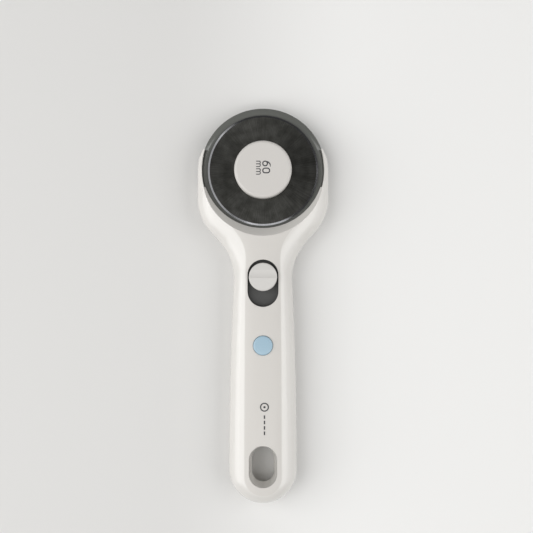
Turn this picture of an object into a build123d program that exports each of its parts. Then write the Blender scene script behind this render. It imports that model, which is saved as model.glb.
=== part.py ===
from build123d import *
import math
import os

# Rotary cutter with a sliding blade guard. Millimetres.
# The cutter lies on its back: +Z leaves the blade side, +Y points to the head.
# Shapes are drawn about the blade axis and moved by AXIS_Y when they are written.

# ---- driving dimensions -------------------------------------------------
BLADE_R = 30.0
BLADE_T = 0.4
BLADE_BORE_R = 4.05
BEVEL_W = 1.15
GUARD_R = 34.1
GUARD_T = 1.8
GUARD_TRAVEL = 8.0
HEAD_R = 35.8
HANDLE_END_R = 18.5
HANDLE_END_Y = -163.0
WALL = 2.0
GAP = 0.3
FIT = 0.05

# heights above the rear face
SEAM_Z = 11.0
FACE_Z = 21.0
GUARD_Z = 11.6
BLADE_Z = 14.4
LIP_Z = GUARD_Z + GUARD_T + 0.25
RIM_Z = 15.8
SCREW_SEAT_Z = 5.6
CARRIAGE_TOP_Z = 17.0
NUT_TOP_Z = 23.6

POCKET_R = 33.0
POCKET_Y = 1.8
DISH_R = 35.6
GUARD_ROOM_R = GUARD_R + GAP
ARM_TIP_Y = 11.8
ARM_R = 33.2
LIP_TIP_Y = -9.0
PLATE_R = 24.0

SLOT_W = 16.7
SLOT_L = 25.5
SLOT_Y = -61.2
THUMB_Y = -57.8
THUMB_R = 7.6
CARRIAGE_HALF_W = 9.2

LOCK_Y = -94.8
LOCK_TRAVEL = 2.5
LOCK_R = 5.25
PIN_R = 2.4
COLLAR_R = 4.4
LOCK_CAP_R = 4.3
CLIP_Z = 9.6
TAIL_Z = 12.0
TAIL_T = 2.0
DETENT_Y = -76.0
SPRING_SCREW_Y = -65.0

HOLE_W = 15.3
HOLE_L = 22.6
HOLE_Y = -160.4
THROAT_W = 12.0
THROAT_L = 19.0

NUT_R = 15.5
SPINDLE_R = 4.0
THREAD_R = 3.0
THREAD_PITCH = 1.0
MARK_T = 0.15
BUSH_R = 6.5

AXIS_Y = (GUARD_R + HANDLE_END_R - HANDLE_END_Y) / 2 - GUARD_R

# Outline families: the widest outline and the flat panels in front and behind.
SIDE = dict(head=35.8, drop=15, curve=27, waist=15.95, waist_y=-59, neck=30, end=18.5, end_y=-163)
FRONT = dict(head=24.5, drop=15, curve=17, waist=9.3, waist_y=-48, neck=22, end=10.1, end_y=-166)
REAR = dict(head=28.5, drop=15, curve=21, waist=10.6, waist_y=-52, neck=25, end=12.5, end_y=-164)

DOME_STEPS = 6
SCREWS = [(13.5, -47.5), (-13.5, -47.5), (11.2, -112.0), (-11.2, -112.0), (0.0, -142.0)]


# ---- outline and dome helpers -------------------------------------------
def on_circle(centre, radius, angle):
    return (centre[0] + radius * math.cos(angle), centre[1] + radius * math.sin(angle))


def arc_about(centre, radius, start, end):
    """Arc of a circle about centre between two angles in radians."""
    middle = (start + end) / 2
    return ThreePointArc(
        on_circle(centre, radius, start),
        on_circle(centre, radius, middle),
        on_circle(centre, radius, end),
    )


def blend(inner, outer, share):
    return {key: inner[key] + (outer[key] - inner[key]) * share for key in inner}


def spoon(form, inset=0.0):
    """Closed outline: round head, convex flank, hollow neck, swelling handle, round end."""
    drop = form["waist_y"] - form["end_y"]
    sag = form["end"] - form["waist"]
    side_r = (drop**2 + sag**2) / (2 * sag)
    side_c = (form["end"] - side_r, form["end_y"])
    reach = side_r + form["neck"]
    neck_c = (side_c[0] + math.sqrt(reach**2 - drop**2), form["waist_y"])
    flank_c = (form["head"] - form["curve"], -form["drop"])
    gap = (neck_c[0] - flank_c[0], neck_c[1] - flank_c[1])
    span = math.hypot(gap[0], gap[1])
    lean = math.atan2(gap[1], gap[0]) + math.acos((form["curve"] + form["neck"]) / span)
    foot = math.atan2(drop, neck_c[0] - side_c[0])
    head_r = form["head"] - inset
    flank_r = form["curve"] - inset
    neck_r = form["neck"] + inset
    right = [
        Line((head_r, 0), (head_r, flank_c[1])),
        arc_about(flank_c, flank_r, 0, lean),
        Line(on_circle(flank_c, flank_r, lean), on_circle(neck_c, -neck_r, lean)),
        arc_about(neck_c, -neck_r, lean, foot),
        arc_about(side_c, side_r - inset, foot, 0),
    ]
    left = [edge.mirror(Plane.YZ) for edge in right]
    head = arc_about((0, 0), head_r, 0, math.pi)
    end = arc_about((0, form["end_y"]), form["end"] - inset, 0, -math.pi)
    return make_face(right + left + [head, end])


def dome(panel, height, inset=0.0):
    """Solid from the seam plane to the panel, with elliptical shoulders."""
    rise = math.copysign(abs(height) - inset, height)
    sections = []
    for step in range(DOME_STEPS + 1):
        angle = math.pi / 2 * step / DOME_STEPS
        face = spoon(blend(panel, SIDE, math.cos(angle)), inset)
        sections.append(Pos(0, 0, SEAM_Z + rise * math.sin(angle)) * face)
    return loft(sections)


def disc(radius, bottom, top, x=0.0, y=0.0):
    return Pos(x, y, bottom) * extrude(Circle(radius), top - bottom)


def ring(outer, inner, bottom, top, x=0.0, y=0.0):
    return Pos(x, y, bottom) * extrude(Circle(outer) - Circle(inner), top - bottom)


def block(x0, x1, y0, y1, z0, z1):
    return Pos((x0 + x1) / 2, (y0 + y1) / 2, (z0 + z1) / 2) * Box(x1 - x0, y1 - y0, z1 - z0)


def stadium(width, length, y, bottom, top):
    face = SlotOverall(length, width, rotation=90)
    return Pos(0, y, bottom) * extrude(face, top - bottom)


# ---- cuts shared by both half shells ------------------------------------
def guard_room(bottom, top):
    """Space swept by the guard disc, from rest to fully drawn back."""
    face = SlotOverall(2 * GUARD_ROOM_R + GUARD_TRAVEL, 2 * GUARD_ROOM_R, rotation=90)
    return Pos(0, -GUARD_TRAVEL / 2, bottom) * extrude(face, top - bottom)


def blade_pocket():
    """Round pocket, centred a little above the blade, that flares into a dish at the front face."""
    top = FACE_Z + 2
    share = (top - RIM_Z) / (FACE_Z - RIM_Z)
    top_r = POCKET_R + (DISH_R - POCKET_R) * share
    rim = Pos(0, POCKET_Y, RIM_Z) * Circle(POCKET_R)
    mouth = Pos(0, POCKET_Y * (1 - share), top) * Circle(top_r)
    return disc(POCKET_R, -2, RIM_Z, 0, POCKET_Y) + loft([rim, mouth])


def head_opening(bottom, top, inner_r):
    """Everything above the lip tips except the thin arms at both sides."""
    above = block(-60, 60, LIP_TIP_Y, 60, bottom, top)
    inner = disc(inner_r, bottom, top) & above
    past_tips = block(-60, 60, ARM_TIP_Y, 60, bottom, top)
    corner = Pos(HEAD_R - 0.5, ARM_TIP_Y - 5.4) * Rot(0, 0, 27.4) * Pos(10, 10) * Rectangle(20, 20)
    side = Pos(0, 0, bottom) * extrude(corner, top - bottom)
    side = side & block(0, 60, 0, 60, bottom, top)
    return inner + past_tips + side + side.mirror(Plane.YZ)


def hang_hole_cut(face_z):
    """Hole that narrows from the face to a throat at the seam."""
    mouth = Pos(0, HOLE_Y, face_z) * SlotOverall(HOLE_L, HOLE_W, rotation=90)
    throat = Pos(0, HOLE_Y, SEAM_Z) * SlotOverall(THROAT_L, THROAT_W, rotation=90)
    return loft([throat, mouth])


def hang_hole_wall(bottom, top):
    return stadium(HOLE_W + 3.2, HOLE_L + 3.2, HOLE_Y, bottom, top)


# ---- casing --------------------------------------------------------------
def front_shell():
    body = dome(FRONT, FACE_Z - SEAM_Z)
    body -= blade_pocket()
    body -= guard_room(5, LIP_Z)
    body -= head_opening(5, 40, ARM_R)
    hollow = dome(FRONT, FACE_Z - SEAM_Z, WALL)
    hollow -= disc(DISH_R + 2.4, LIP_Z - 0.01, FACE_Z + 1)
    hollow -= hang_hole_wall(SEAM_Z - 1, FACE_Z + 1)
    for x, y in SCREWS:
        hollow -= disc(2.9, SEAM_Z - 1, FACE_Z + 1, x, y)
    for x in (-10.1, 10.1):
        hollow -= block(x - 0.6, x + 0.6, -92, -43.5, 14.2, FACE_Z + 1)
    for y in (-123.0, -133.0):
        hollow -= block(-18, 18, y - 0.6, y + 0.6, 16.5, FACE_Z + 1)
    body -= hollow
    body -= stadium(SLOT_W, SLOT_L, SLOT_Y, 12, 40)
    body -= disc(LOCK_R + 0.1, SEAM_Z - 1, 40, 0, LOCK_Y)
    body -= hang_hole_cut(FACE_Z)
    for x, y in SCREWS:
        body -= disc(1.25, 5, 17.5, x, y)
    return body - tongue(0.1)


def rear_shell():
    body = dome(REAR, -SEAM_Z)
    side_gap = block(-60, 60, LIP_TIP_Y, 60, -5, 40) - disc(PLATE_R, -6, 41)
    side_gap -= ring(60, GUARD_ROOM_R, -6, 41)
    body -= side_gap
    body -= head_opening(-5, 40, GUARD_ROOM_R) - disc(PLATE_R, -6, 41)
    hollow = dome(REAR, -SEAM_Z, WALL)
    hollow -= ring(PLATE_R + 1, PLATE_R - 1.6, -1, 40)
    hollow -= disc(9.5, -1, 40)
    hollow -= hang_hole_wall(-1, 40)
    hollow -= disc(8.6, -1, SEAM_Z - 0.1, 0, LOCK_Y)
    hollow -= disc(3.4, -1, 8.4, 0, SPRING_SCREW_Y)
    for step in range(6):
        hollow -= Rot(0, 0, 60 * step) * block(9, PLATE_R, -0.7, 0.7, -1, SEAM_Z - 1.3)
    for x, y in SCREWS:
        hollow -= disc(4.4, -1, 40, x, y)
    for y in (-123.0, -133.0, -60.0):
        hollow -= block(-18, 18, y - 0.6, y + 0.6, -1, 6.0)
    hollow -= block(-40, 40, -40.0, -38.6, -1, 9.0)
    body -= hollow
    body -= ring(PLATE_R - 0.8, 9.5, SEAM_Z - 1.3, 40)
    body -= disc(SPINDLE_R + 0.05, -1, 40)
    body -= Pos(0, 0, -1) * extrude(RegularPolygon(7.2, 6), 5.8)
    body -= hang_hole_cut(0.0)
    body -= disc(LOCK_CAP_R + 0.1, -1, 40, 0, LOCK_Y)
    body -= block(-3.6, 3.6, LOCK_Y - 9.5, LOCK_Y + 9.5, CLIP_Z - 0.25, 40)
    body -= disc(1.1, 3.0, 40, 0, SPRING_SCREW_Y)
    for x, y in SCREWS:
        body -= disc(3.0, -1, SCREW_SEAT_Z, x, y)
        body -= disc(1.3, -1, 40, x, y)
    body += tongue()
    return body


def tongue(room=0.0):
    """Raised lip on the rear half that centres the front half."""
    face = spoon(SIDE, 1.05 - room) - spoon(SIDE, 1.95 + 5 * room)
    lip = Pos(0, 0, SEAM_Z - 0.5) * extrude(face, 1.5 + room)
    lip &= block(-60, 60, -200, -44.0 + room, 0, 20)
    for x, y in SCREWS:
        lip -= disc(3.2, 0, 20, x, y)
    return lip - stadium(HOLE_W + 3.4, HOLE_L + 3.4, HOLE_Y, 0, 20)


def head_plate():
    """Steel disc that stiffens the plastic head behind the guard."""
    plate = ring(PLATE_R - 0.9, 9.6, SEAM_Z - 1.3, SEAM_Z)
    holes = [disc(1.1, 0, 20, 16 * math.cos(a), 16 * math.sin(a)) for a in plate_screw_angles()]
    return plate - holes


def plate_screw_angles():
    return [math.radians(60 * step + 30) for step in range(6)]


# ---- blade, spindle and nut ----------------------------------------------
def blade_guard():
    plate = disc(GUARD_R, GUARD_Z, GUARD_Z + GUARD_T)
    plate = chamfer(plate.edges().sort_by(Axis.Z)[-1], 0.9, 1.2)
    neck = block(-8, 8, -49.5, -30, GUARD_Z, GUARD_Z + GUARD_T)
    plate += neck
    room = SlotOverall(2 * (BUSH_R + FIT) + GUARD_TRAVEL, 2 * (BUSH_R + FIT), rotation=90)
    plate -= Pos(0, GUARD_TRAVEL / 2, 0) * extrude(room, 40)
    for x in (-4.5, 4.5):
        plate -= disc(1.3, 0, 40, x, -45.0)
    return plate


def guard_rivets():
    rivets = []
    for x in (-4.5, 4.5):
        head = disc(2.2, GUARD_Z - 0.6, GUARD_Z, x, -45.0)
        rivets.append(head + disc(1.25, GUARD_Z, CARRIAGE_TOP_Z - 0.6, x, -45.0))
    return Compound(rivets)


def rotary_blade():
    """Thin disc, ground on both sides to a fine edge."""
    top = BLADE_Z + BLADE_T
    middle = BLADE_Z + BLADE_T / 2
    ground = BLADE_R - BEVEL_W
    outline = Polyline(
        (BLADE_BORE_R, BLADE_Z),
        (ground, BLADE_Z),
        (BLADE_R, middle - 0.02),
        (BLADE_R, middle + 0.02),
        (ground, top),
        (BLADE_BORE_R, top),
        close=True,
    )
    return revolve(Plane.XZ * make_face(outline), Axis.Z)


def spindle_bolt():
    """Hex-headed bolt; its thread is drawn as grooves, one each pitch."""
    head = Pos(0, 0, 1.2) * extrude(RegularPolygon(7.1, 6), 3.6)
    shank = disc(SPINDLE_R, 4.8, BLADE_Z + 1.0)
    thread = disc(THREAD_R, BLADE_Z + 1.0, NUT_TOP_Z - 3.2)
    body = head + shank + chamfer(thread.edges().sort_by(Axis.Z)[-1], 0.4)
    rows = int((NUT_TOP_Z - 4.2 - BLADE_Z - 1.5) / THREAD_PITCH)
    for row in range(rows):
        z = BLADE_Z + 1.5 + row * THREAD_PITCH
        groove = ring(THREAD_R + 0.2, THREAD_R - 0.45, z, z + 0.5)
        body -= groove
    return body


def spindle_bush():
    """Turned bush that guides the guard and seats the blade."""
    body = disc(BUSH_R, SEAM_Z, BLADE_Z - 0.05)
    body -= disc(SPINDLE_R + 0.02, 0, 40)
    return chamfer(body.edges().sort_by(Axis.Z)[-1], 0.25)


def spring_washer():
    washer = ring(8.5, SPINDLE_R + 0.08, BLADE_Z + BLADE_T + 0.05, BLADE_Z + BLADE_T + 0.75)
    notches = [
        disc(1.3, 0, 40, 8.9 * math.cos(a), 8.9 * math.sin(a))
        for a in [math.radians(45 * step) for step in range(8)]
    ]
    return washer - notches


def nut_knob():
    body = disc(NUT_R, BLADE_Z + BLADE_T + 0.75, NUT_TOP_Z)
    body = fillet(body.edges().sort_by(Axis.Z)[-1], 1.6)
    body -= disc(9.0, 0, BLADE_Z + BLADE_T + 1.5)
    body -= ring(14.2, 10.5, 0, NUT_TOP_Z - 2.4)
    body -= disc(5.5, 0, NUT_TOP_Z - 1.8)
    return body - size_mark()


def nut_insert():
    """Brass insert moulded into the nut, knurled outside."""
    top = NUT_TOP_Z - 1.8
    body = ring(5.5, THREAD_R + FIT, BLADE_Z + BLADE_T + 0.85, top)
    grooves = []
    for step in range(16):
        angle = 2 * math.pi * step / 16
        x = 5.5 * math.cos(angle)
        y = 5.5 * math.sin(angle)
        grooves.append(disc(0.3, 0, top - 0.8, x, y))
    return body - grooves


def hoop(radius, width):
    return Circle(radius + width / 2) - Circle(radius - width / 2)


def upright(x, y0, y1, width):
    return Pos(x, (y0 + y1) / 2) * Rectangle(width, y1 - y0)


def digit_six(height, width):
    bowl = 0.31 * height
    face = Pos(bowl, bowl) * hoop(bowl, width)
    sweep = 0.75 * height
    stem = hoop(sweep, width) & (Pos(-sweep / 2, sweep / 2) * Rectangle(sweep, sweep))
    trim = Pos(-sweep / 2, 0) * Rectangle(sweep + width, 2.4 * (height - bowl))
    return face + Pos(sweep, bowl) * (stem & trim)


def digit_nought(height, width):
    bowl = 0.31 * height
    full = height + width / 2
    outer = SlotOverall(full, 2 * bowl + width, rotation=90)
    inner = SlotOverall(full - 2 * width, 2 * bowl - width, rotation=90)
    return Pos(bowl, (height - width / 2) / 2) * (outer - inner)


def letter_m(height, hump, width):
    shoulder = height - hump / 2
    face = upright(0, 0, height, width)
    arch = hoop(hump / 2, width) & (Pos(0, hump / 2) * Rectangle(2 * hump, hump))
    for x in (hump, 2 * hump):
        face += Pos(x - hump / 2, shoulder) * arch
        face += upright(x, 0, shoulder, width)
    return face


def size_mark():
    """Inlaid blade size, 60 mm, reading towards the handle."""
    digits = digit_six(4.0, 0.66) + Pos(3.75, 0) * digit_nought(4.0, 0.66)
    unit = letter_m(2.3, 1.45, 0.5) + Pos(4.1, 0) * letter_m(2.3, 1.45, 0.5)
    lettering = Pos(-4.3, -0.1) * digits + Pos(-4.3, -3.7) * unit
    flat = Rot(0, 0, -90) * lettering
    return Pos(0, 0, NUT_TOP_Z - MARK_T) * extrude(flat, MARK_T)


# ---- slide -----------------------------------------------------------------
def slide_carriage():
    body = block(-CARRIAGE_HALF_W, CARRIAGE_HALF_W, -76, -39.5, CARRIAGE_TOP_Z - 1.8, CARRIAGE_TOP_Z)
    body += block(-8, 8, -50.2, -39.5, GUARD_Z + GUARD_T, CARRIAGE_TOP_Z - 1.8)
    body += block(-8, 8, -79.5, -66.0, TAIL_Z, CARRIAGE_TOP_Z - 1.8)
    tail = block(-6.5, 6.5, -104.0, -79.5, TAIL_Z, TAIL_Z + TAIL_T)
    body += fillet(tail.edges().filter_by(Axis.Z).sort_by(Axis.Y)[:2], 4.0)
    path = SlotOverall(GUARD_TRAVEL + 5.2, 5.2, rotation=90)
    body -= Pos(0, LOCK_Y + GUARD_TRAVEL / 2, 0) * extrude(path, 40)
    for shift in (0.0, GUARD_TRAVEL):
        body -= disc(COLLAR_R + 0.2, 0, TAIL_Z + TAIL_T, 0, LOCK_Y + shift)
        notch = Pos(0, DETENT_Y + shift, TAIL_Z - 0.7) * Rot(0, 90, 0)
        body -= notch * Cylinder(1.5, 9.0)
    for x in (-4.5, 4.5):
        body -= disc(1.25, 0, CARRIAGE_TOP_Z - 0.6, x, -45.0)
    body -= disc(1.5, 0, 40, 0, THUMB_Y)
    body -= disc(3.0, 0, TAIL_Z + 1.8, 0, THUMB_Y)
    return body


def thumb_button():
    """Round thumb piece with a roof-shaped top and a ridge across."""
    body = disc(THUMB_R, CARRIAGE_TOP_Z, 24.0, 0, THUMB_Y)
    roof = Polyline((-9, 17), (-9, 21.9), (0, 23.4), (9, 21.9), (9, 17), close=True)
    wedge = extrude(Plane.YZ * make_face(roof), 10, both=True)
    body &= Pos(0, THUMB_Y, 0) * wedge
    rim = body.edges().filter_by(lambda e: e.center().Z > 21.5 and e.geom_type != GeomType.LINE)
    body = fillet(rim, 0.6)
    body -= disc(1.2, 0, CARRIAGE_TOP_Z + 4.0, 0, THUMB_Y)
    return body


def button_screw():
    head = disc(2.6, CARRIAGE_TOP_Z - 3.4, CARRIAGE_TOP_Z - 1.8, 0, THUMB_Y)
    head -= Pos(0, THUMB_Y, CARRIAGE_TOP_Z - 3.4) * Box(4.0, 0.7, 1.4)
    return head + disc(1.15, CARRIAGE_TOP_Z - 1.8, CARRIAGE_TOP_Z + 3.6, 0, THUMB_Y)


def detent_spring():
    """Leaf spring whose round nose drops into a notch under the slide."""
    leaf = block(-3.5, 3.5, DETENT_Y - 1.6, SPRING_SCREW_Y + 3.5, 8.4, 8.9)
    nose = Pos(0, DETENT_Y, TAIL_Z - 0.7) * Rot(0, 90, 0) * Cylinder(1.2, 6.0)
    post = block(-3.0, 3.0, DETENT_Y - 0.6, DETENT_Y + 0.6, 8.9, TAIL_Z - 0.7)
    return leaf + nose + post - disc(1.1, 0, 40, 0, SPRING_SCREW_Y)


def detent_screw():
    head = disc(2.2, 8.9, 10.2, 0, SPRING_SCREW_Y)
    head -= Pos(0, SPRING_SCREW_Y, 10.2) * Box(3.4, 0.6, 1.0)
    return head + disc(1.1, 3.2, 8.9, 0, SPRING_SCREW_Y)


# ---- cross-bolt lock -------------------------------------------------------
def lock_button():
    cap = disc(LOCK_R, 18.7, FACE_Z + 0.9, 0, LOCK_Y)
    cap = fillet(cap.edges().sort_by(Axis.Z)[-1], 0.75)
    flange = disc(6.6, 17.1, 18.1, 0, LOCK_Y)
    return cap + flange + disc(LOCK_R, 18.1, 18.7, 0, LOCK_Y) - disc(PIN_R, 0, 19.6, 0, LOCK_Y)


def lock_pin():
    body = disc(PIN_R, 4.5, 19.5, 0, LOCK_Y)
    body += disc(COLLAR_R, TAIL_Z + TAIL_T + 0.25, TAIL_Z + TAIL_T + 0.25 + 2.3, 0, LOCK_Y)
    for z in (CLIP_Z, CLIP_Z + LOCK_TRAVEL):
        body -= ring(PIN_R + 0.2, PIN_R - 0.35, z - 0.35, z + 0.35, 0, LOCK_Y)
    return body


def lock_rear_cap():
    cap = disc(LOCK_CAP_R, 3.0, 7.4, 0, LOCK_Y) - disc(PIN_R, 4.5, 40, 0, LOCK_Y)
    return fillet(cap.edges().sort_by(Axis.Z)[0], 0.5)


def lock_clip():
    """Hairpin spring that snaps into one of two grooves of the pin."""
    height = CLIP_Z
    reach = PIN_R - 0.35 + 0.05 + 0.25
    legs = [block(s * reach - 0.25, s * reach + 0.25, -100.5, -89.5, height - 0.25, height + 0.25)
            for s in (-1, 1)]
    bow = Pos(0, -100.5, height - 0.25) * extrude(Circle(reach + 0.25) - Circle(reach - 0.25), 0.5)
    bow &= block(-9, 9, -110, -100.5, 0, 20)
    return legs[0] + legs[1] + bow


# ---- fasteners and mark ----------------------------------------------------
def casing_screws():
    """Identical pan-head screws that close the two half shells."""
    screws = []
    for x, y in SCREWS:
        head = disc(2.8, SCREW_SEAT_Z - 2.0, SCREW_SEAT_Z, x, y)
        head = fillet(head.edges().sort_by(Axis.Z)[0], 0.6)
        cross = Pos(x, y, SCREW_SEAT_Z - 2.0) * (Box(3.4, 0.8, 2.0) + Box(0.8, 3.4, 2.0))
        shank = disc(1.25, SCREW_SEAT_Z, 16.5, x, y)
        screws.append(head - cross + shank)
    return Compound(screws)


def handle_mark():
    """Plain dark pictogram: a ring with a dashed cutting line below it."""
    thin = 0.08
    mark = ring(2.4, 1.8, FACE_Z, FACE_Z + thin, 0.8, -128.0)
    mark += disc(0.6, FACE_Z, FACE_Z + thin, 0.8, -128.0)
    for step in range(4):
        y = -132.4 - 2.9 * step
        mark += block(0.45, 1.15, y - 1.9, y, FACE_Z, FACE_Z + thin)
    return mark


NODES = {
    "front_shell": front_shell,
    "rear_shell": rear_shell,
    "head_plate": head_plate,
    "blade_guard": blade_guard,
    "guard_rivets": guard_rivets,
    "rotary_blade": rotary_blade,
    "spindle_bolt": spindle_bolt,
    "spindle_bush": spindle_bush,
    "spring_washer": spring_washer,
    "nut_knob": nut_knob,
    "nut_insert": nut_insert,
    "size_mark": size_mark,
    "slide_carriage": slide_carriage,
    "thumb_button": thumb_button,
    "button_screw": button_screw,
    "detent_spring": detent_spring,
    "detent_screw": detent_screw,
    "lock_button": lock_button,
    "lock_pin": lock_pin,
    "lock_rear_cap": lock_rear_cap,
    "lock_clip": lock_clip,
    "casing_screws": casing_screws,
    "handle_mark": handle_mark,
}

os.makedirs("parts", exist_ok=True)
for name, make in NODES.items():
    shape = make()
    shape = Pos(0, AXIS_Y, 0) * shape
    box = shape.bounding_box()
    print(f"{name:16s} solids {len(shape.solids())} volume {shape.volume:10.2f}", box.min, box.max)
    export_step(shape, f"parts/{name}.step")
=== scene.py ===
import math

import bmesh
import bpy
from mathutils import Matrix, Vector


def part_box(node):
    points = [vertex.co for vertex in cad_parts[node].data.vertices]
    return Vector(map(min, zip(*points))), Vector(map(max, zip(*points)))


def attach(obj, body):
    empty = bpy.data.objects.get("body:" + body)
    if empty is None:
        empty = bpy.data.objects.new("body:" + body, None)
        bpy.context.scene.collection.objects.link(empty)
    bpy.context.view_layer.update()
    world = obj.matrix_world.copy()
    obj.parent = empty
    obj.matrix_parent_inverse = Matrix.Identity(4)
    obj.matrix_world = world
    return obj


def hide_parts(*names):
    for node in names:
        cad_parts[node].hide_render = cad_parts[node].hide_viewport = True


# Rotary cutter lying on its back, seen from above.
# Shapes are drawn in millimetres about the blade axis, and place() brings them into the frame.

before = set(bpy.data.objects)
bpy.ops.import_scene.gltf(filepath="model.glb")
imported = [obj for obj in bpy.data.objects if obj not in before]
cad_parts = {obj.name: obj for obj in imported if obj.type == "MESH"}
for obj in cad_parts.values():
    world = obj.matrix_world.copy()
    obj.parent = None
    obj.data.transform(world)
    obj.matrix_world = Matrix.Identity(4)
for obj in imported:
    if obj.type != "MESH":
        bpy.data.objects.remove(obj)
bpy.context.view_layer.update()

MM = 0.001


def box_mm(node):
    low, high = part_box(node)
    return [v / MM for v in low], [v / MM for v in high]


# ---- sizes read from the frame, in millimetres ---------------------------
BLADE_LOW, BLADE_HIGH = box_mm("rotary_blade")
GUARD_LOW, GUARD_HIGH = box_mm("blade_guard")
NUT_LOW, NUT_HIGH = box_mm("nut_knob")
THUMB_LOW, THUMB_HIGH = box_mm("thumb_button")
LOCK_LOW, LOCK_HIGH = box_mm("lock_button")
FRONT_LOW, FRONT_HIGH = box_mm("front_shell")
CAP_LOW, CAP_HIGH = box_mm("lock_rear_cap")

AXIS_Y = (BLADE_LOW[1] + BLADE_HIGH[1]) / 2
BLADE_R = BLADE_HIGH[0]
GUARD_R = GUARD_HIGH[0]
NUT_R = NUT_HIGH[0]
HEAD_R = FRONT_HIGH[0]
SEAM_Z = FRONT_LOW[2]
FACE_Z = FRONT_HIGH[2]
THUMB_R = THUMB_HIGH[0]
THUMB_Y = (THUMB_LOW[1] + THUMB_HIGH[1]) / 2 - AXIS_Y
LOCK_Y = (LOCK_LOW[1] + LOCK_HIGH[1]) / 2 - AXIS_Y
LOCK_FLANGE_R = LOCK_HIGH[0]
CAP_R = CAP_HIGH[0]
END_R = 18.5
END_Y = FRONT_LOW[1] - AXIS_Y + END_R

# ---- casing shape --------------------------------------------------------
WALL = 2.0
GAP = 0.3
CROWN = 0.7
SEAM_BEVEL = 0.15
POCKET_R = 33.0
POCKET_Y = 1.8
POCKET_EDGE = [(-0.3, 0.0), (-0.1, 0.08), (0.15, 0.25)]
DISH_R = 35.6
RIM_Z = 15.8
LIP_GAP = 0.25
LIP_Z = GUARD_HIGH[2] + LIP_GAP
GUARD_ROOM_R = GUARD_R + GAP
GUARD_TRAVEL = 8.0
LIP_TIP_Y = -9.0
ARM_TIP_Y = 11.8
ARM_R = 33.2
TAPER_INSET = 0.5
TAPER_DROP = 5.4
TAPER_LEAN = math.radians(117.4)
PLATE_R = 24.0
SLOT_W = 16.7
SLOT_L = 25.5
SLOT_Y = -61.2
# The rounded mouths of the slot and the lock hole end this far below the top of the panel.
SLOT_SINK = 0.1
LOCK_SINK = 0.02
LOCK_HOLE_R = 5.35
HOLE_W = 15.3
HOLE_L = 22.6
HOLE_Y = -160.4
THROAT_W = 12.0
THROAT_L = 19.0
HOLE_ROUND = 0.4
HOLE_EASE = 1.5
EDGE_ROUND = 0.45
SCREWS = [(13.5, -47.5), (-13.5, -47.5), (11.2, -112.0), (-11.2, -112.0), (0.0, -142.0)]
SCREW_SEAT_Z = 5.6
SCREW_HEAD_R = 3.0
SCREW_HOLE_R = 1.3
SPRING_SCREW_Y = -65.0
SPINDLE_R = 4.0
BUSH_R = 6.5
PIN_R = 2.4
PLAY = 0.05

# Outlines of the casing: the widest one at the seam, and the flat panels of front and back.
SIDE = dict(head=HEAD_R, drop=15, flank=27, waist=15.95, waist_y=-59, neck=30, end=END_R, end_y=END_Y)
FRONT = dict(head=24.5, drop=15, flank=17, waist=9.3, waist_y=-48, neck=22, end=10.1, end_y=-166)
REAR = dict(head=28.5, drop=15, flank=21, waist=10.6, waist_y=-52, neck=25, end=12.5, end_y=-164)

# ---- inside the casing -----------------------------------------------------
DISH_WALL = 2.4
LIP_DROP = 0.5
HOLE_WALL = 3.2
PLATE_WALL = 0.3
FRONT_POST_R = 2.9
REAR_POST_R = 4.4
LOCK_POST_R = 8.6
SPRING_POST_R = 3.4
SEAT_R = 9.5
SEAT_Z = 9.7
SEAT_MARGIN = 0.8
BOLT_HEAD_R = 7.2
BOLT_SEAT_Z = 4.8
CLIP_Z = 9.35
CLIP_HALF_W = 3.6
CLIP_HALF_L = 9.5

# ---- guard plate and blade -------------------------------------------------
GUARD_CHAMFER = 0.2
GUARD_EDGE_R = 0.35
GUARD_EDGE_DROP = 1.15
GUARD_BEVEL = 2.1
GUARD_BEVEL_END = 2.3
GUARD_BEVEL_DROP = 0.05
GUARD_NECK_HALF = 8.0
GUARD_NECK_LOW_Y = -49.5
GUARD_NECK_TOP_Y = -30.0
NECK_INSET = 0.02
RIVET_X = 4.5
RIVET_Y = -45.0
RIVET_R = 1.3
GRIND = 0.95
EDGE_HALF = 0.02

# ---- nut -------------------------------------------------------------------
NUT_ROUND = 1.6
NUT_TOP_MARGIN = 2.0
NUT_CHAMFER = 0.2
NUT_SKIRT_R = 14.2
NUT_BOSS_R = 10.5
NUT_STEP_R = 9.0
NUT_STEP_H = 0.75
NUT_INSERT_R = 5.5
NUT_ROOF = 2.4
NUT_WEB = 1.8
MARK_DEPTH = 0.15
MARK_STRETCH = 3

# ---- thumb button and lock -------------------------------------------------
THUMB_FALL = 1.5 / 9.0
THUMB_RIM = 0.6
THUMB_CHAMFER = 0.15
THUMB_BORE_R = 1.2
THUMB_BORE_L = 4.0
DIP_R = 7.0
DIP_Y = 2.4
DIP_DEPTH = 0.75
DIP_HALF_L = 9
LOCK_GAP = 0.1
LOCK_ROUND = 0.75
LOCK_SAG = 0.08
LOCK_FLANGE_H = 1.0
LOCK_SOCKET = 2.5
TIP_ROUND = 0.5
TIP_SOCKET = 1.5

# ---- mesh fineness ---------------------------------------------------------
HEAD_STEPS = 40
STRAIGHT_STEPS = 8
FLANK_STEPS = 22
TANGENT_STEPS = 4
NECK_STEPS = 22
GRIP_STEPS = 40
END_STEPS = 24
SHOULDER_STEPS = 22
SHOULDER_TOP = math.radians(78)
# An odd number, so that no column of the panel lies on the line x = 0.
PANEL_COLUMNS = 15
ARCH_STEPS = 96
HOLE_STEPS = 12
ROUND_STEPS = 6
THUMB_STEPS = 192
THUMB_ROWS = 12
THUMB_RIM_ROWS = 8
WELD = 1e-5
LEVEL = 0.999999

# ---- how far the cutters reach, past what they cut ---------------------------
FAR_BELOW = -10
BELOW = -5
ARM_LOW_Z = 4
ROOM_LOW_Z = 5
MOUTH_LOW_Z = 10
ABOVE = 40
ASIDE = 60
OVERSHOOT = 1.5
POCKET_OVERSHOOT = 2
SKIRT = 1.0
SEAM_OVERLAP = 0.1
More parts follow.
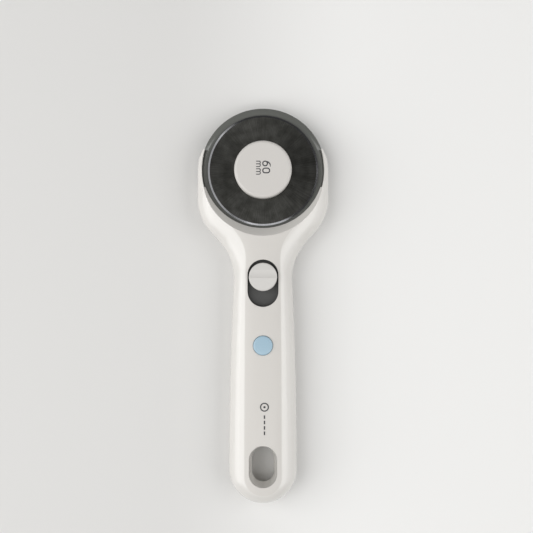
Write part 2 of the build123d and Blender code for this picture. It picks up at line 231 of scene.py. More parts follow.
# These three differ, so that no two cutters end in one plane.
TIP_MARGIN = 0.3
TAPER_MARGIN = 0.2
KEEP_MARGIN = 1
TAPER_REACH = 20
TAPER_FALL = 5
TAPER_TOP_Y = 40


# ---- small helpers -------------------------------------------------------
def on_circle(centre, radius, angle):
    return (centre[0] + radius * math.cos(angle), centre[1] + radius * math.sin(angle))


def arc_points(centre, radius, start, end, count):
    """Points of an arc, without the first one."""
    sweep = end - start
    return [on_circle(centre, radius, start + sweep * (step + 1) / count) for step in range(count)]


def line_points(a, b, count):
    """Points of a straight line, without the first one."""
    return [
        (a[0] + (b[0] - a[0]) * (step + 1) / count, a[1] + (b[1] - a[1]) * (step + 1) / count)
        for step in range(count)
    ]


def blend_forms(inner, outer, share):
    """The dimensions that lie between two outlines."""
    return {key: inner[key] + (outer[key] - inner[key]) * share for key in inner}


def half_outline(form, inset):
    """Right half of the spoon outline, from the top of the head to the end of the handle."""
    drop = form["waist_y"] - form["end_y"]
    sag = form["end"] - form["waist"]
    side_r = (drop**2 + sag**2) / (2 * sag)
    side_c = (form["end"] - side_r, form["end_y"])
    reach = side_r + form["neck"]
    neck_c = (side_c[0] + math.sqrt(reach**2 - drop**2), form["waist_y"])
    flank_c = (form["head"] - form["flank"], -form["drop"])
    gap = (neck_c[0] - flank_c[0], neck_c[1] - flank_c[1])
    lean = math.atan2(gap[1], gap[0]) + math.acos((form["flank"] + form["neck"]) / math.hypot(*gap))
    foot = math.atan2(drop, neck_c[0] - side_c[0])
    head_r = form["head"] - inset
    flank_r = form["flank"] - inset
    neck_r = form["neck"] + inset
    points = [(0.0, head_r)]
    points += arc_points((0, 0), head_r, math.pi / 2, 0, HEAD_STEPS)
    points += line_points(points[-1], (head_r, flank_c[1]), STRAIGHT_STEPS)
    points += arc_points(flank_c, flank_r, 0, lean, FLANK_STEPS)
    points += line_points(points[-1], on_circle(neck_c, -neck_r, lean), TANGENT_STEPS)
    points += arc_points(neck_c, -neck_r, lean, foot, NECK_STEPS)
    points += arc_points(side_c, side_r - inset, foot, 0, GRIP_STEPS)
    end_r = form["end"] - inset
    points += arc_points((0, form["end_y"]), end_r, 0, -math.pi / 2, END_STEPS)
    points[-1] = (0.0, points[-1][1])
    return points


def stadium(width, length, steps=20):
    """Closed outline of a slot whose long side runs along Y."""
    straight = (length - width) / 2
    turns = [math.pi * s / steps for s in range(steps + 1)]
    upper = [on_circle((0, straight), width / 2, turn) for turn in turns]
    lower = [on_circle((0, -straight), width / 2, math.pi + turn) for turn in turns]
    return upper + lower


def circle(radius, steps, phase=0.37):
    """Closed circle. The phase keeps its corners off the lines x = 0 and y = 0."""
    return [on_circle((0, 0), radius, 2 * math.pi * (s + phase) / steps) for s in range(steps)]


def new_object(name, bm):
    """Linked object made from a bmesh, with its faces turned outwards."""
    bmesh.ops.recalc_face_normals(bm, faces=bm.faces)
    mesh = bpy.data.meshes.new(name)
    bm.to_mesh(mesh)
    bm.free()
    obj = bpy.data.objects.new(name, mesh)
    bpy.context.scene.collection.objects.link(obj)
    return obj


def stack(name, loops, shift=(0, 0)):
    """Closed solid through loops [(outline, z), ...] that all have the same number of points."""
    bm = bmesh.new()
    rings = []
    for outline, z in loops:
        rings.append([bm.verts.new((x + shift[0], y + shift[1], z)) for x, y in outline])
    for low, high in zip(rings, rings[1:]):
        for i in range(len(low)):
            j = (i + 1) % len(low)
            bm.faces.new((low[i], low[j], high[j], high[i]))
    bm.faces.new(rings[0])
    bm.faces.new(rings[-1])
    return new_object(name, bm)


def turned(name, profile, steps, shift=(0, 0)):
    """Solid of revolution about Z, from a list of (radius, z).

    A profile that starts at the axis also ends there, and any other one is closed into a ring."""
    bm = bmesh.new()
    rings = []
    for radius, z in profile:
        outline = circle(radius, steps) if radius > 0 else [(0, 0)]
        rings.append([bm.verts.new((x + shift[0], y + shift[1], z)) for x, y in outline])
    pairs = list(zip(rings, rings[1:]))
    if profile[0][0] > 0:
        pairs.append((rings[-1], rings[0]))
    for low, high in pairs:
        for i in range(steps):
            j = (i + 1) % steps
            corners = [low[i % len(low)], low[j % len(low)], high[j % len(high)], high[i % len(high)]]
            corners = list(dict.fromkeys(corners))
            if len(corners) > 2:
                bm.faces.new(corners)
    return new_object(name, bm)


def place(obj):
    """From millimetres about the blade axis to metres in the shared frame."""
    obj.data.transform(Matrix.Scale(MM, 4) @ Matrix.Translation((0, AXIS_Y, 0)))
    obj.data.update()
    return obj


def combine(obj, tool, operation="DIFFERENCE"):
    """Cuts the tool out of the object, or joins it on. The tool is used up."""
    modifier = obj.modifiers.new("cut", "BOOLEAN")
    modifier.operation = operation
    modifier.solver = "EXACT"
    modifier.object = tool
    graph = bpy.context.evaluated_depsgraph_get()
    result = bpy.data.meshes.new_from_object(obj.evaluated_get(graph))
    obj.modifiers.clear()
    old = obj.data
    obj.data = result
    bpy.data.meshes.remove(old)
    bpy.data.objects.remove(tool)
    return obj


def soften(obj, angle):
    """Smooth shading that stays crisp at real edges and dead flat on level faces."""
    obj.data.shade_smooth()
    obj.data.set_sharp_from_angle(angle=math.radians(angle))
    for face in obj.data.polygons:
        face.use_smooth = abs(face.normal.z) < LEVEL


# ---- casing ----------------------------------------------------------------
def dome(name, panel, height, inset=0.0, crown=0.0, skirt=0.0):
    """Closed half shell volume: elliptical shoulders round a slightly crowned panel.

    A skirt carries the widest outline past the seam, for a volume that cuts another."""
    sign = math.copysign(1, height)
    rise = abs(height) - inset - crown
    angles = [SHOULDER_TOP * s / SHOULDER_STEPS for s in range(SHOULDER_STEPS + 1)]
    crease = math.cos(SHOULDER_TOP)
    shares = [(math.cos(a) - crease) / (1 - crease) for a in angles]
    halves = [half_outline(blend_forms(panel, SIDE, share), inset) for share in shares]
    levels = [SEAM_Z + sign * rise * math.sin(a) / math.sin(SHOULDER_TOP) for a in angles]
    if skirt:
        halves.insert(0, halves[0])
        levels.insert(0, SEAM_Z - sign * skirt)
    else:
        halves.insert(0, half_outline(SIDE, SEAM_BEVEL))
        levels.insert(0, SEAM_Z)
        levels[1] += sign * SEAM_BEVEL
    bm = bmesh.new()
    rows = []
    for i in range(len(halves[0])):
        left = [(-halves[k][i][0], halves[k][i][1], levels[k]) for k in range(len(levels))]
        right = [(halves[k][i][0], halves[k][i][1], levels[k]) for k in range(len(levels))]
        edge_x, edge_y = halves[-1][i]
        row_crown = sign * crown * min(1.0, edge_x / panel["end"]) ** 2
        middle = []
        for column in range(1, PANEL_COLUMNS):
            u = 2 * column / PANEL_COLUMNS - 1
            bow = 1 - 0.5 * (u**2 + u**4)
            middle.append((u * edge_x, edge_y, levels[-1] + row_crown * bow))
        rows.append([bm.verts.new(p) for p in left + middle + right[::-1]])
    for upper, lower in zip(rows, rows[1:]):
        for j in range(len(upper) - 1):
            face = bm.faces.new((upper[j], upper[j + 1], lower[j + 1], lower[j]))
            # Panel faces take the second, darker-coloured copy of the casing plastic. This is painted
            # shade set against the lighter shoulders.
            face.material_index = int(len(levels) <= j + 1 < len(levels) + PANEL_COLUMNS)
        bm.faces.new((upper[0], lower[0], lower[-1], upper[-1]))
    bmesh.ops.remove_doubles(bm, verts=bm.verts, dist=WELD)
    bmesh.ops.dissolve_degenerate(bm, edges=bm.edges, dist=WELD)
    return new_object(name, bm)


def prism(name, outline, low, high, shift=(0, 0)):
    """Upright solid on one outline."""
    return stack(name, [(outline, low), (outline, high)], shift)


def rounded_cutter(name, outline_at, low, top, shift):
    """Cutter whose mouth flares by EDGE_ROUND at the height top. outline_at(grow) is an outline."""
    loops = [(outline_at(0.0), low)]
    for step in range(ROUND_STEPS + 1):
        angle = math.pi / 2 * step / ROUND_STEPS
        grow = EDGE_ROUND * (1 - math.cos(angle))
        loops.append((outline_at(grow), top - EDGE_ROUND + EDGE_ROUND * math.sin(angle)))
    loops.append((outline_at(EDGE_ROUND), top + OVERSHOOT))
    return stack(name, loops, shift)


def hang_hole_cutter(face_z, sign):
    """Hole that narrows from the face to a throat at the seam, with a rounded rim."""
    depth = abs(face_z - SEAM_Z) - HOLE_ROUND
    loops = [(stadium(THROAT_W, THROAT_L), SEAM_Z - sign * SEAM_OVERLAP)]
    for step in range(1, HOLE_STEPS + 1):
        share = step / HOLE_STEPS
        ease = 1 - (1 - share) ** HOLE_EASE
        width = THROAT_W + (HOLE_W - THROAT_W) * ease
        length = THROAT_L + (HOLE_L - THROAT_L) * ease
        loops.append((stadium(width, length), SEAM_Z + sign * share * depth))
    for step in range(1, ROUND_STEPS + 1):
        angle = math.pi / 2 * step / ROUND_STEPS
        grow = 2 * HOLE_ROUND * (1 - math.cos(angle))
        z = face_z - sign * HOLE_ROUND * (1 - math.sin(angle))
        loops.append((stadium(HOLE_W + grow, HOLE_L + grow), z))
    mouth = stadium(HOLE_W + 2 * HOLE_ROUND, HOLE_L + 2 * HOLE_ROUND)
    loops.append((mouth, face_z + sign * OVERSHOOT))
    return stack("hole_cutter", loops, (0, HOLE_Y))


def pocket_cutter():
    """Well over the blade, centred a little above it, with a rounded edge and a dish round it."""
    top = FACE_Z + POCKET_OVERSHOOT
    share = (top - RIM_Z) / (FACE_Z - RIM_Z)
    levels = [(0, POCKET_R)]
    levels += [(RIM_Z + lift, POCKET_R + grow) for lift, grow in POCKET_EDGE]
    loops = [([(x, y + POCKET_Y) for x, y in circle(radius, 256)], z) for z, radius in levels]
    mouth = circle(POCKET_R + (DISH_R - POCKET_R) * share, 256)
    loops.append(([(x, y + POCKET_Y * (1 - share)) for x, y in mouth], top))
    return stack("pocket_cutter", loops)


def guard_room_cutter():
    """Room under the lip for the guard, closed or drawn back."""
    outline = stadium(2 * GUARD_ROOM_R, 2 * GUARD_ROOM_R + GUARD_TRAVEL, 64)
    return prism("guard_room", outline, ROOM_LOW_Z, LIP_Z, (0, -GUARD_TRAVEL / 2))


def cut_head_opening(obj, low, high, inner_r, plate_r=None):
    """Clears the casing above the lip tips, leaving only a thin arm at each side.

    With plate_r given, a round seat of that radius is kept under the head plate."""
    start = math.asin(LIP_TIP_Y / inner_r)
    sweep = math.pi - 2 * start
    arch = [on_circle((0, 0), inner_r, start + sweep * s / ARCH_STEPS) for s in range(ARCH_STEPS + 1)]
    tools = [prism("opening", arch, low, high)]
    past = [(-ASIDE, ARM_TIP_Y), (ASIDE, ARM_TIP_Y), (ASIDE, ASIDE), (-ASIDE, ASIDE)]
    tools.append(prism("past_tips", past, low - TIP_MARGIN, high + TIP_MARGIN))
    corner = (HEAD_R - TAPER_INSET, ARM_TIP_Y - TAPER_DROP)
    far = on_circle(corner, TAPER_REACH, TAPER_LEAN)
    for side in (-1, 1):
        outline = [corner, (ASIDE, corner[1] - TAPER_FALL), (ASIDE, TAPER_TOP_Y), far]
        outline = [(side * x, y) for x, y in outline]
        tools.append(prism("taper", outline, low - TAPER_MARGIN, high + TAPER_MARGIN))
    for tool in tools:
        if plate_r:
            keep = prism("plate_keep", circle(plate_r, 128), low - KEEP_MARGIN, high + KEEP_MARGIN)
            combine(tool, keep)
        combine(obj, tool)


def keep_post(hollow, radius, x, y):
    """Leaves a solid post standing in the hollow."""
    combine(hollow, prism("post", circle(radius, 48), FAR_BELOW, ABOVE, (x, y)))


def keep_hole_wall(hollow):
    """Leaves a wall round the hang hole standing in the hollow."""
    outline = stadium(HOLE_W + HOLE_WALL, HOLE_L + HOLE_WALL)
    combine(hollow, prism("hole_wall", outline, FAR_BELOW, ABOVE, (0, HOLE_Y)))


def front_hollow():
    """Inner space of the front half; walls stay round the dish, the hang hole and the screws."""
    hollow = dome("hollow", FRONT, FACE_Z - SEAM_Z, WALL, skirt=SKIRT)
    combine(hollow, prism("dish_wall", circle(DISH_R + DISH_WALL, 128), LIP_Z - LIP_DROP, ABOVE))
    keep_hole_wall(hollow)
    for x, y in SCREWS:
        keep_post(hollow, FRONT_POST_R, x, y)
    return hollow


def rear_hollow():
    """Inner space of the rear half; posts stay round the screws, the lock and the spindle."""
    hollow = dome("hollow", REAR, -SEAM_Z, WALL, skirt=SKIRT)
    combine(hollow, prism("plate_wall", circle(PLATE_R + PLATE_WALL, 128), FAR_BELOW, ABOVE))
    keep_hole_wall(hollow)
    keep_post(hollow, LOCK_POST_R, 0, LOCK_Y)
    keep_post(hollow, SPRING_POST_R, 0, SPRING_SCREW_Y)
    for x, y in SCREWS:
        keep_post(hollow, REAR_POST_R, x, y)
    return hollow


def front_shell():
    """Front half, with the blade's pocket, the slot, the lock hole and the hang hole."""
    shell = dome("casing_front", FRONT, FACE_Z - SEAM_Z, crown=CROWN)
    combine(shell, pocket_cutter())
    combine(shell, guard_room_cutter())
    cut_head_opening(shell, ARM_LOW_Z, ABOVE, ARM_R)
    combine(shell, front_hollow())
    slot = rounded_cutter(
        "slot",
        lambda grow: stadium(SLOT_W + 2 * grow, SLOT_L + 2 * grow),
        MOUTH_LOW_Z,
        FACE_Z - SLOT_SINK,
        (0, SLOT_Y),
    )
    combine(shell, slot)
    lock = rounded_cutter(
        "lock_hole",
        lambda grow: circle(LOCK_HOLE_R + grow, 96),
        MOUTH_LOW_Z,
        FACE_Z - LOCK_SINK,
        (0, LOCK_Y),
    )
    combine(shell, lock)
    combine(shell, hang_hole_cutter(FACE_Z, 1))
    return shell


def rear_shell():
    """Back half, with the plate's seat, the bolt, lock and screw holes and the hang hole."""
    shell = dome("casing_rear", REAR, -SEAM_Z)
    cut_head_opening(shell, BELOW, ABOVE, GUARD_ROOM_R, PLATE_R)
    combine(shell, rear_hollow())
    rim = PLATE_R - SEAT_MARGIN
    seat = [(SEAT_R, SEAT_Z), (rim, SEAT_Z), (rim, ABOVE), (SEAT_R, ABOVE)]
    combine(shell, turned("plate_seat", seat, 128))
    combine(shell, prism("bore", circle(SPINDLE_R + PLAY, 64), BELOW, ABOVE))
    combine(shell, prism("bolt_recess", circle(BOLT_HEAD_R, 6, 0.01), BELOW, BOLT_SEAT_Z))
    combine(shell, hang_hole_cutter(0.0, -1))
    combine(shell, prism("lock_hole", circle(CAP_R + LOCK_GAP, 64), BELOW, ABOVE, (0, LOCK_Y)))
    signs = [(-1, -1), (1, -1), (1, 1), (-1, 1)]
    clip_room = [(x * CLIP_HALF_W, y * CLIP_HALF_L) for x, y in signs]
    combine(shell, prism("clip_room", clip_room, CLIP_Z, ABOVE, (0, LOCK_Y)))
    for x, y in SCREWS:
        combine(shell, prism("screw_recess", circle(SCREW_HEAD_R, 48), BELOW, SCREW_SEAT_Z, (x, y)))
        combine(shell, prism("screw_hole", circle(SCREW_HOLE_R, 32), BELOW, ABOVE, (x, y)))
    return shell


# ---- moving pieces -----------------------------------------------------------
def arc_profile(centre_r, centre_z, radius, start, end, steps):
    """Part of a turned profile: an arc given in degrees, from start to end."""
    points = []
    for step in range(steps + 1):
        angle = math.radians(start + (end - start) * step / steps)
        points.append((centre_r + radius * math.cos(angle), centre_z + radius * math.sin(angle)))
    return points


def guard_plate():
    """Disc with a bevelled rim, a slotted middle and a neck that is riveted to the slide."""
    low, high = GUARD_LOW[2], GUARD_HIGH[2]
    rim = GUARD_R
    edge_z = high - GUARD_EDGE_DROP
    profile = [(0, low), (rim - GUARD_CHAMFER, low), (rim, low + GUARD_CHAMFER), (rim, edge_z)]
    profile += arc_profile(rim - GUARD_EDGE_R, edge_z, GUARD_EDGE_R, 15, 60, 4)
    profile += [(rim - GUARD_BEVEL, high - GUARD_BEVEL_DROP), (rim - GUARD_BEVEL_END, high), (0, high)]
    plate = turned("guard_plate", profile, 320)
    half = GUARD_NECK_HALF
    neck = [(-half, GUARD_NECK_LOW_Y), (half, GUARD_NECK_LOW_Y)]
    neck += [(half, GUARD_NECK_TOP_Y), (-half, GUARD_NECK_TOP_Y)]
    combine(plate, prism("neck", neck, low + NECK_INSET, high - NECK_INSET), "UNION")
    width = 2 * BUSH_R + 2 * PLAY
    slot = stadium(width, width + GUARD_TRAVEL, 32)
    combine(plate, prism("slot", slot, 0, ABOVE, (0, GUARD_TRAVEL / 2)))
    for x in (-RIVET_X, RIVET_X):
        combine(plate, prism("rivet_hole", circle(RIVET_R, 32), 0, ABOVE, (x, RIVET_Y)))
    return plate


def blade():
    """Round blade, ground from both faces to an edge. The ground band has its own material."""
    low, high = BLADE_LOW[2], BLADE_HIGH[2]
    middle = (low + high) / 2
    bore = SPINDLE_R + PLAY
    ground = BLADE_R - GRIND
    profile = [(bore, low), (ground, low), (BLADE_R, middle - EDGE_HALF), (BLADE_R, middle + EDGE_HALF)]
    profile += [(ground, high), (bore, high)]
    disc = turned("blade", profile, 360)
    for face in disc.data.polygons:
        face.material_index = int(face.center.xy.length > ground)
    return disc


def nut():
    """Round nut with a rounded top edge, a ring-shaped hollow underneath and the size mark cut in."""
    low, high = NUT_LOW[2], NUT_HIGH[2]
    roof = high - NUT_ROOF
    step = low + NUT_STEP_H
    web = high - NUT_WEB
    top_r = NUT_R - NUT_ROUND
    profile = [(0, high), (NUT_STEP_R, high), (NUT_R - NUT_TOP_MARGIN, high), (top_r, high)]
    profile += arc_profile(top_r, high - NUT_ROUND, NUT_ROUND, 90, 0, 14)[1:]
    profile += [(NUT_R, low + NUT_CHAMFER), (NUT_R - NUT_CHAMFER, low)]
    profile += [(NUT_SKIRT_R, low), (NUT_SKIRT_R, roof), (NUT_BOSS_R, roof), (NUT_BOSS_R, low)]
    profile += [(NUT_STEP_R, low), (NUT_STEP_R, step), (NUT_INSERT_R, step)]
    profile += [(NUT_INSERT_R, web), (0, web)]
    knob = turned("nut", profile, 256)
    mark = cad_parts["size_mark"].data.copy()
    # The mark is stretched upwards from its floor, so that it cuts through the top.
    floor_z = high - MARK_DEPTH
    to_floor = Matrix.Translation((0, 0, -floor_z))
    from_floor = Matrix.Translation((0, 0, floor_z))
    mark.transform(Matrix.Translation((0, -AXIS_Y, 0)) @ Matrix.Scale(1 / MM, 4))
    mark.transform(from_floor @ Matrix.Diagonal((1, 1, MARK_STRETCH, 1)) @ to_floor)
    tool = bpy.data.objects.new("mark_recess", mark)
    bpy.context.scene.collection.objects.link(tool)
    return combine(knob, tool)


def thumb_piece():
    """Round button whose top falls away to both sides of a ridge, with a rounded rim."""
    low, high = THUMB_LOW[2], THUMB_HIGH[2]
    bore_z = low + THUMB_BORE_L
    bm = bmesh.new()
    rings = []

    def roof(y):
        return high - THUMB_FALL * abs(y)

    def ring(radius, height_at):
        points = circle(radius, THUMB_STEPS, 0)
        rings.append([bm.verts.new((x, y + THUMB_Y, height_at(y))) for x, y in points])

    for step in range(1, THUMB_ROWS + 1):
        ring((THUMB_R - THUMB_RIM) * step / THUMB_ROWS, roof)
    for step in range(1, THUMB_RIM_ROWS + 1):
        angle = math.pi / 2 * step / THUMB_RIM_ROWS
        drop = THUMB_RIM * (1 - math.cos(angle))
        ring(THUMB_R - THUMB_RIM + THUMB_RIM * math.sin(angle), lambda y: roof(y) - drop)
    ring(THUMB_R, lambda y: low + THUMB_CHAMFER)
    ring(THUMB_R - THUMB_CHAMFER, lambda y: low)
    ring(THUMB_BORE_R, lambda y: low)
    ring(THUMB_BORE_R, lambda y: bore_z)
    for inner, outer in zip(rings, rings[1:]):
        for i in range(THUMB_STEPS):
            j = (i + 1) % THUMB_STEPS
            bm.faces.new((inner[i], inner[j], outer[j], outer[i]))
    top = bm.verts.new((0, THUMB_Y, high))
    bottom = bm.verts.new((0, THUMB_Y, bore_z))
    for i in range(THUMB_STEPS):
        j = (i + 1) % THUMB_STEPS
        bm.faces.new((rings[0][i], rings[0][j], top))
        bm.faces.new((rings[-1][i], rings[-1][j], bottom))
    piece = new_object("thumb_piece", bm)
    dip = prism("dip", circle(DIP_R, 160), -DIP_HALF_L, DIP_HALF_L)
    turn = Matrix.Rotation(math.pi / 2, 4, "Y")
    dip.data.transform(Matrix.Translation((0, THUMB_Y + DIP_Y, high + DIP_R - DIP_DEPTH)) @ turn)
    return combine(piece, dip)


def lock_cap():
    """Push button with a slightly domed top and a flange that keeps it in the casing."""
    low, high = LOCK_LOW[2], LOCK_HIGH[2]
    radius = LOCK_HOLE_R - LOCK_GAP
    round_r = radius - LOCK_ROUND
    flange_z = low + LOCK_FLANGE_H
    socket_z = low + LOCK_SOCKET
    profile = [(0, high), (radius * 0.5, high - LOCK_SAG / 4), (round_r, high - LOCK_SAG)]
    profile += arc_profile(round_r, high - LOCK_SAG - LOCK_ROUND, LOCK_ROUND, 80, 0, 8)
    profile += [(radius, flange_z), (LOCK_FLANGE_R, flange_z), (LOCK_FLANGE_R, low)]
    profile += [(PIN_R, low), (PIN_R, socket_z), (0, socket_z)]
    return turned("lock_cap", profile, 128, (0, LOCK_Y))


def lock_tip():
    """Cap at the back end of the lock's pin."""
    low, high = CAP_LOW[2], CAP_HIGH[2]
    socket_z = low + TIP_SOCKET
    profile = [(0, low), (CAP_R - TIP_ROUND, low)]
    profile += arc_profile(CAP_R - TIP_ROUND, low + TIP_ROUND, TIP_ROUND, -90, 0, 6)[1:]
    profile += [(CAP_R, high), (PIN_R, high), (PIN_R, socket_z), (0, socket_z)]
    return turned("lock_tip", profile, 128, (0, LOCK_Y))


# ---- materials --------------------------------------------------------------
# A range of roughness never crosses 0.274: the denoiser works differently on either side of it.
DRIFT_SCALE = 18
GLOSS_SCALE = 40
COAT_ROUGHNESS = 0.12
STREAK_SCALE = 90
CLOUD_SCALE = 220
MOTTLE_SCALE = 400
METAL_GLOSS_SCALE = 700
METAL_ROUGH = (0.29, 0.42)
METAL_SHADE = 0.85
SMOKE_ALPHA = 0.93


def material(name):
    mat = bpy.data.materials.new(name)
    mat.use_nodes = True
    tree = mat.node_tree
    return mat, tree, tree.nodes["Principled BSDF"]


def node(tree, kind, **inputs):
    made = tree.nodes.new(kind)
    for key, value in inputs.items():
        made.inputs[key.replace("_", " ")].default_value = value
    return made


def object_coordinates(tree):
    return tree.nodes.new("ShaderNodeTexCoord").outputs["Object"]


def noise(tree, scale, detail=3.0, vector=None):
    made = node(tree, "ShaderNodeTexNoise", Scale=scale, Detail=detail)
    tree.links.new(vector if vector else object_coordinates(tree), made.inputs["Vector"])
    return made.outputs["Fac"]


def ramp(tree, factor, low, high, start=0.2, end=0.8):
    """Eases from low to high while the factor goes from start to end."""
    made = tree.nodes.new("ShaderNodeMapRange")
    made.interpolation_type = "SMOOTHSTEP"
    made.inputs["From Min"].default_value = start
    made.inputs["From Max"].default_value = end
    made.inputs["To Min"].default_value = low
    made.inputs["To Max"].default_value = high
    tree.links.new(factor, made.inputs["Value"])
    return made.outputs["Result"]


def mix_colours(tree, factor, a, b):
    made = tree.nodes.new("ShaderNodeMix")
    made.data_type = "RGBA"
    made.inputs["A"].default_value = (*a, 1)
    made.inputs["B"].default_value = (*b, 1)
    tree.links.new(factor, made.inputs["Factor"])
    return made.outputs["Result"]


def bump(tree, shader, height, distance, strength):
    made = tree.nodes.new("ShaderNodeBump")
    made.inputs["Strength"].default_value = strength
    made.inputs["Distance"].default_value = distance
    tree.links.new(height, made.inputs["Height"])
    tree.links.new(made.outputs["Normal"], shader.inputs["Normal"])


def moulded_plastic(name, colour, rough, shade=0.975, grain=900, depth=0.000006, coat=0.0):
    """Moulded plastic: slow colour drift, fine grain in the surface, uneven gloss."""
    mat, tree, shader = material(name)
    darker = tuple(c * shade for c in colour)
    drift = ramp(tree, noise(tree, DRIFT_SCALE, 0), 0, 1)
    tree.links.new(mix_colours(tree, drift, darker, colour), shader.inputs["Base Color"])
    tree.links.new(ramp(tree, noise(tree, GLOSS_SCALE, 0), *rough), shader.inputs["Roughness"])
    bump(tree, shader, noise(tree, grain, 2), depth, 0.6)
    shader.inputs["Coat Weight"].default_value = coat
    shader.inputs["Coat Roughness"].default_value = COAT_ROUGHNESS
    return mat


def ground_steel(name, dark, light, rough):
    """Steel with grinding lines that run out from the blade axis."""
    mat, tree, shader = material(name)
    split = tree.nodes.new("ShaderNodeSeparateXYZ")
    tree.links.new(object_coordinates(tree), split.inputs[0])
    shift = node(tree, "ShaderNodeMath")
    shift.operation = "SUBTRACT"
    shift.inputs[1].default_value = AXIS_Y * MM
    tree.links.new(split.outputs["Y"], shift.inputs[0])
    angle = node(tree, "ShaderNodeMath")
    angle.operation = "ARCTAN2"
    tree.links.new(shift.outputs[0], angle.inputs[0])
    tree.links.new(split.outputs["X"], angle.inputs[1])
    lines = tree.nodes.new("ShaderNodeCombineXYZ")
    tree.links.new(angle.outputs[0], lines.inputs["X"])
    streaks = noise(tree, STREAK_SCALE, 4, lines.outputs[0])
    blend = tree.nodes.new("ShaderNodeMath")
    blend.operation = "MULTIPLY"
    tree.links.new(ramp(tree, streaks, 0, 1), blend.inputs[0])
    tree.links.new(ramp(tree, noise(tree, CLOUD_SCALE, 5), 0.35, 1.2), blend.inputs[1])
    tree.links.new(mix_colours(tree, blend.outputs[0], dark, light), shader.inputs["Base Color"])
    tree.links.new(ramp(tree, streaks, *rough), shader.inputs["Roughness"])
    shader.inputs["Metallic"].default_value = 1.0
    shader.inputs["Anisotropic"].default_value = 0.6
    bump(tree, shader, streaks, 0.00001, 0.5)
    return mat


def plain_metal(name, colour):
    """Metal with fine mottling in its colour and gloss."""
    mat, tree, shader = material(name)
    darker = tuple(c * METAL_SHADE for c in colour)
    mottle = ramp(tree, noise(tree, MOTTLE_SCALE), 0, 1)
    tree.links.new(mix_colours(tree, mottle, darker, colour), shader.inputs["Base Color"])
    gloss = ramp(tree, noise(tree, METAL_GLOSS_SCALE), *METAL_ROUGH)
    tree.links.new(gloss, shader.inputs["Roughness"])
    shader.inputs["Metallic"].default_value = 1.0
    return mat


def smoke_plastic(name):
    """Glossy smoke-coloured plastic that lets a little light through."""
    mat = moulded_plastic(name, (0.13, 0.134, 0.122), (0.1, 0.18), 0.85, 300, 0.00001, 0.8)
    shader = mat.node_tree.nodes["Principled BSDF"]
    shader.inputs["Alpha"].default_value = SMOKE_ALPHA
    return mat


# ---- build --------------------------------------------------------------------
# The casing's shoulders and panel are one plastic. The panel's copy is coloured darker than the
# shoulders' copy: painted shade on the panel and painted highlight on the shoulders. The glossy coat on
# the shoulders and the satin finish of the panel are real.
WHITE_PAINTED_LIT = moulded_plastic("casing_white_painted_lit", (0.70, 0.68, 0.645), (0.285, 0.325), coat=1.0)
SATIN_PAINTED_SHADED = moulded_plastic("casing_satin_painted_shaded", (0.615, 0.592, 0.558), (0.41, 0.46), coat=0.1)
NUT_WHITE = moulded_plastic("nut_white", (0.585, 0.563, 0.535), (0.35, 0.45))
THUMB = moulded_plastic("thumb_white", (0.60, 0.585, 0.56), (0.35, 0.5))
DARK = moulded_plastic("slide_dark", (0.055, 0.055, 0.053), (0.45, 0.6))
BLUE = moulded_plastic("lock_blue", (0.35, 0.50, 0.60), (0.29, 0.4), 0.86, 1500, 0.00006, 0.3)
INK = moulded_plastic("ink", (0.035, 0.035, 0.04), (0.5, 0.6))
STEEL = ground_steel("blade_steel", (0.022, 0.022, 0.019), (0.108, 0.107, 0.10), (0.28, 0.42))
BEVEL = ground_steel("blade_bevel", (0.10, 0.10, 0.105), (0.17, 0.17, 0.175), (0.08, 0.13))
PLAIN = plain_metal("plain_steel", (0.5, 0.5, 0.5))
BRASS = plain_metal("brass", (0.62, 0.44, 0.18))
SMOKE = smoke_plastic("guard_smoke")


def add_piece(obj, mats, body, node_name, angle=32.0):
    """Puts a finished piece in the place of one CAD node. Edges sharper than the angle stay crisp."""
    place(obj)
    soften(obj, angle)
    while obj.data.materials:
        obj.data.materials.pop()
    for mat in mats:
        obj.data.materials.append(mat)
    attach(obj, body)
    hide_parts(node_name)


add_piece(front_shell(), [WHITE_PAINTED_LIT, SATIN_PAINTED_SHADED], "handle", "front_shell")
add_piece(rear_shell(), [WHITE_PAINTED_LIT, SATIN_PAINTED_SHADED], "handle", "rear_shell")
add_piece(guard_plate(), [SMOKE], "guard_slider", "blade_guard")
add_piece(thumb_piece(), [THUMB], "guard_slider", "thumb_button", 8.0)
add_piece(blade(), [STEEL, BEVEL], "blade", "rotary_blade", 5.0)
add_piece(nut(), [NUT_WHITE], "nut", "nut_knob")
add_piece(lock_cap(), [BLUE], "lock", "lock_button")
add_piece(lock_tip(), [BLUE], "lock", "lock_rear_cap")

LOOKS = {
    "slide_carriage": DARK,
    "size_mark": INK,
    "handle_mark": INK,
    "nut_insert": BRASS,
    "spindle_bush": BRASS,
}
for node_name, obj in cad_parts.items():
    obj.data.materials.clear()
    obj.data.materials.append(LOOKS.get(node_name, PLAIN))


# ---- floor, light and camera ---------------------------------------------------
FLOOR_HALF = 1.2
FLOOR_Z = -0.0002
FLOOR_FADE = 0.06
FLOOR_LEFT = (0.66, 0.653, 0.638)
FLOOR_RIGHT = (0.81, 0.805, 0.79)
WORLD_STRENGTH = 0.24


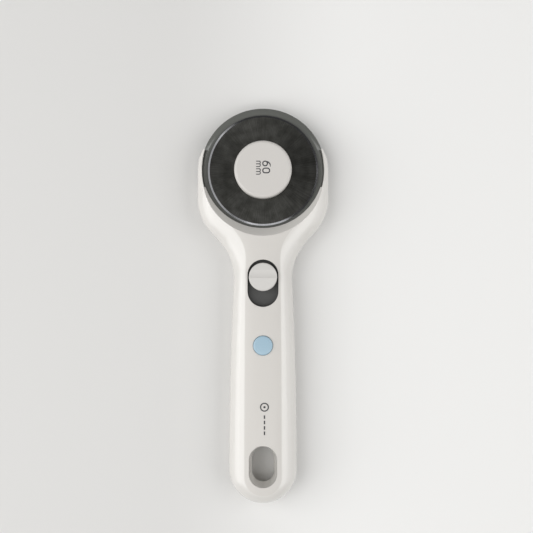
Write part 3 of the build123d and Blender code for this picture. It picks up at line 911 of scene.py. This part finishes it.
def floor():
    """Plain ground that is a little darker on the left than on the right."""
    bm = bmesh.new()
    bmesh.ops.create_grid(bm, x_segments=4, y_segments=4, size=FLOOR_HALF)
    obj = new_object("floor", bm)
    obj.location.z = FLOOR_Z
    mat, tree, shader = material("floor")
    split = tree.nodes.new("ShaderNodeSeparateXYZ")
    tree.links.new(object_coordinates(tree), split.inputs[0])
    across = ramp(tree, split.outputs["X"], 0, 1, -FLOOR_FADE, FLOOR_FADE)
    tree.links.new(mix_colours(tree, across, FLOOR_LEFT, FLOOR_RIGHT), shader.inputs["Base Color"])
    shader.inputs["Roughness"].default_value = 0.6
    obj.data.materials.append(mat)


def softbox(name, location, target, size, power):
    """Area light aimed at a target; its first size runs along Y for lights at the sides."""
    data = bpy.data.lights.new(name, "AREA")
    data.shape = "RECTANGLE"
    data.size, data.size_y = size
    data.energy = power
    obj = bpy.data.objects.new(name, data)
    obj.location = location
    obj.rotation_euler = (Vector(target) - Vector(location)).to_track_quat("-Z", "Y").to_euler()
    bpy.context.scene.collection.objects.link(obj)


floor()
softbox("key", (-1.14, -0.10, 1.41), (0, 0, 0), (2.0, 1.50), 20.0)
softbox("side", (-1.65, -0.10, 0.55), (0, 0, 0), (2.0, 0.80), 10.0)
softbox("fill", (1.20, -0.10, 1.35), (0, 0, 0), (2.0, 1.10), 13.0)
softbox("low_fill", (1.68, -0.10, 0.47), (0, 0, 0), (2.0, 0.80), 5.0)
softbox("upper", (-0.24, -0.05, 1.10), (0, 0, 0), (1.4, 0.16), 1.0)
softbox("edge", (0.03, -0.24, 0.87), (0, 0.045, 0), (0.32, 0.14), 0.45)

world = bpy.data.worlds.new("studio")
world.use_nodes = True
background = world.node_tree.nodes["Background"]
background.inputs["Color"].default_value = (1, 1, 1, 1)
background.inputs["Strength"].default_value = WORLD_STRENGTH
bpy.context.scene.world = world
bpy.context.scene.view_settings.view_transform = "Standard"

CAMERA_X = 1.9
CAMERA_Y = 21.5
CAMERA_Z = 600.0
MM_PER_PIXEL = 0.5445
FOCUS_Z = BLADE_HIGH[2]
SENSOR = 36.0
PIXELS = 533
camera_data = bpy.data.cameras.new("camera")
camera_data.sensor_width = SENSOR
camera_data.lens = SENSOR * (CAMERA_Z - FOCUS_Z) / (MM_PER_PIXEL * PIXELS)
camera = bpy.data.objects.new("camera", camera_data)
camera.location = (CAMERA_X * MM, CAMERA_Y * MM, CAMERA_Z * MM)
bpy.context.scene.collection.objects.link(camera)
bpy.context.scene.camera = camera
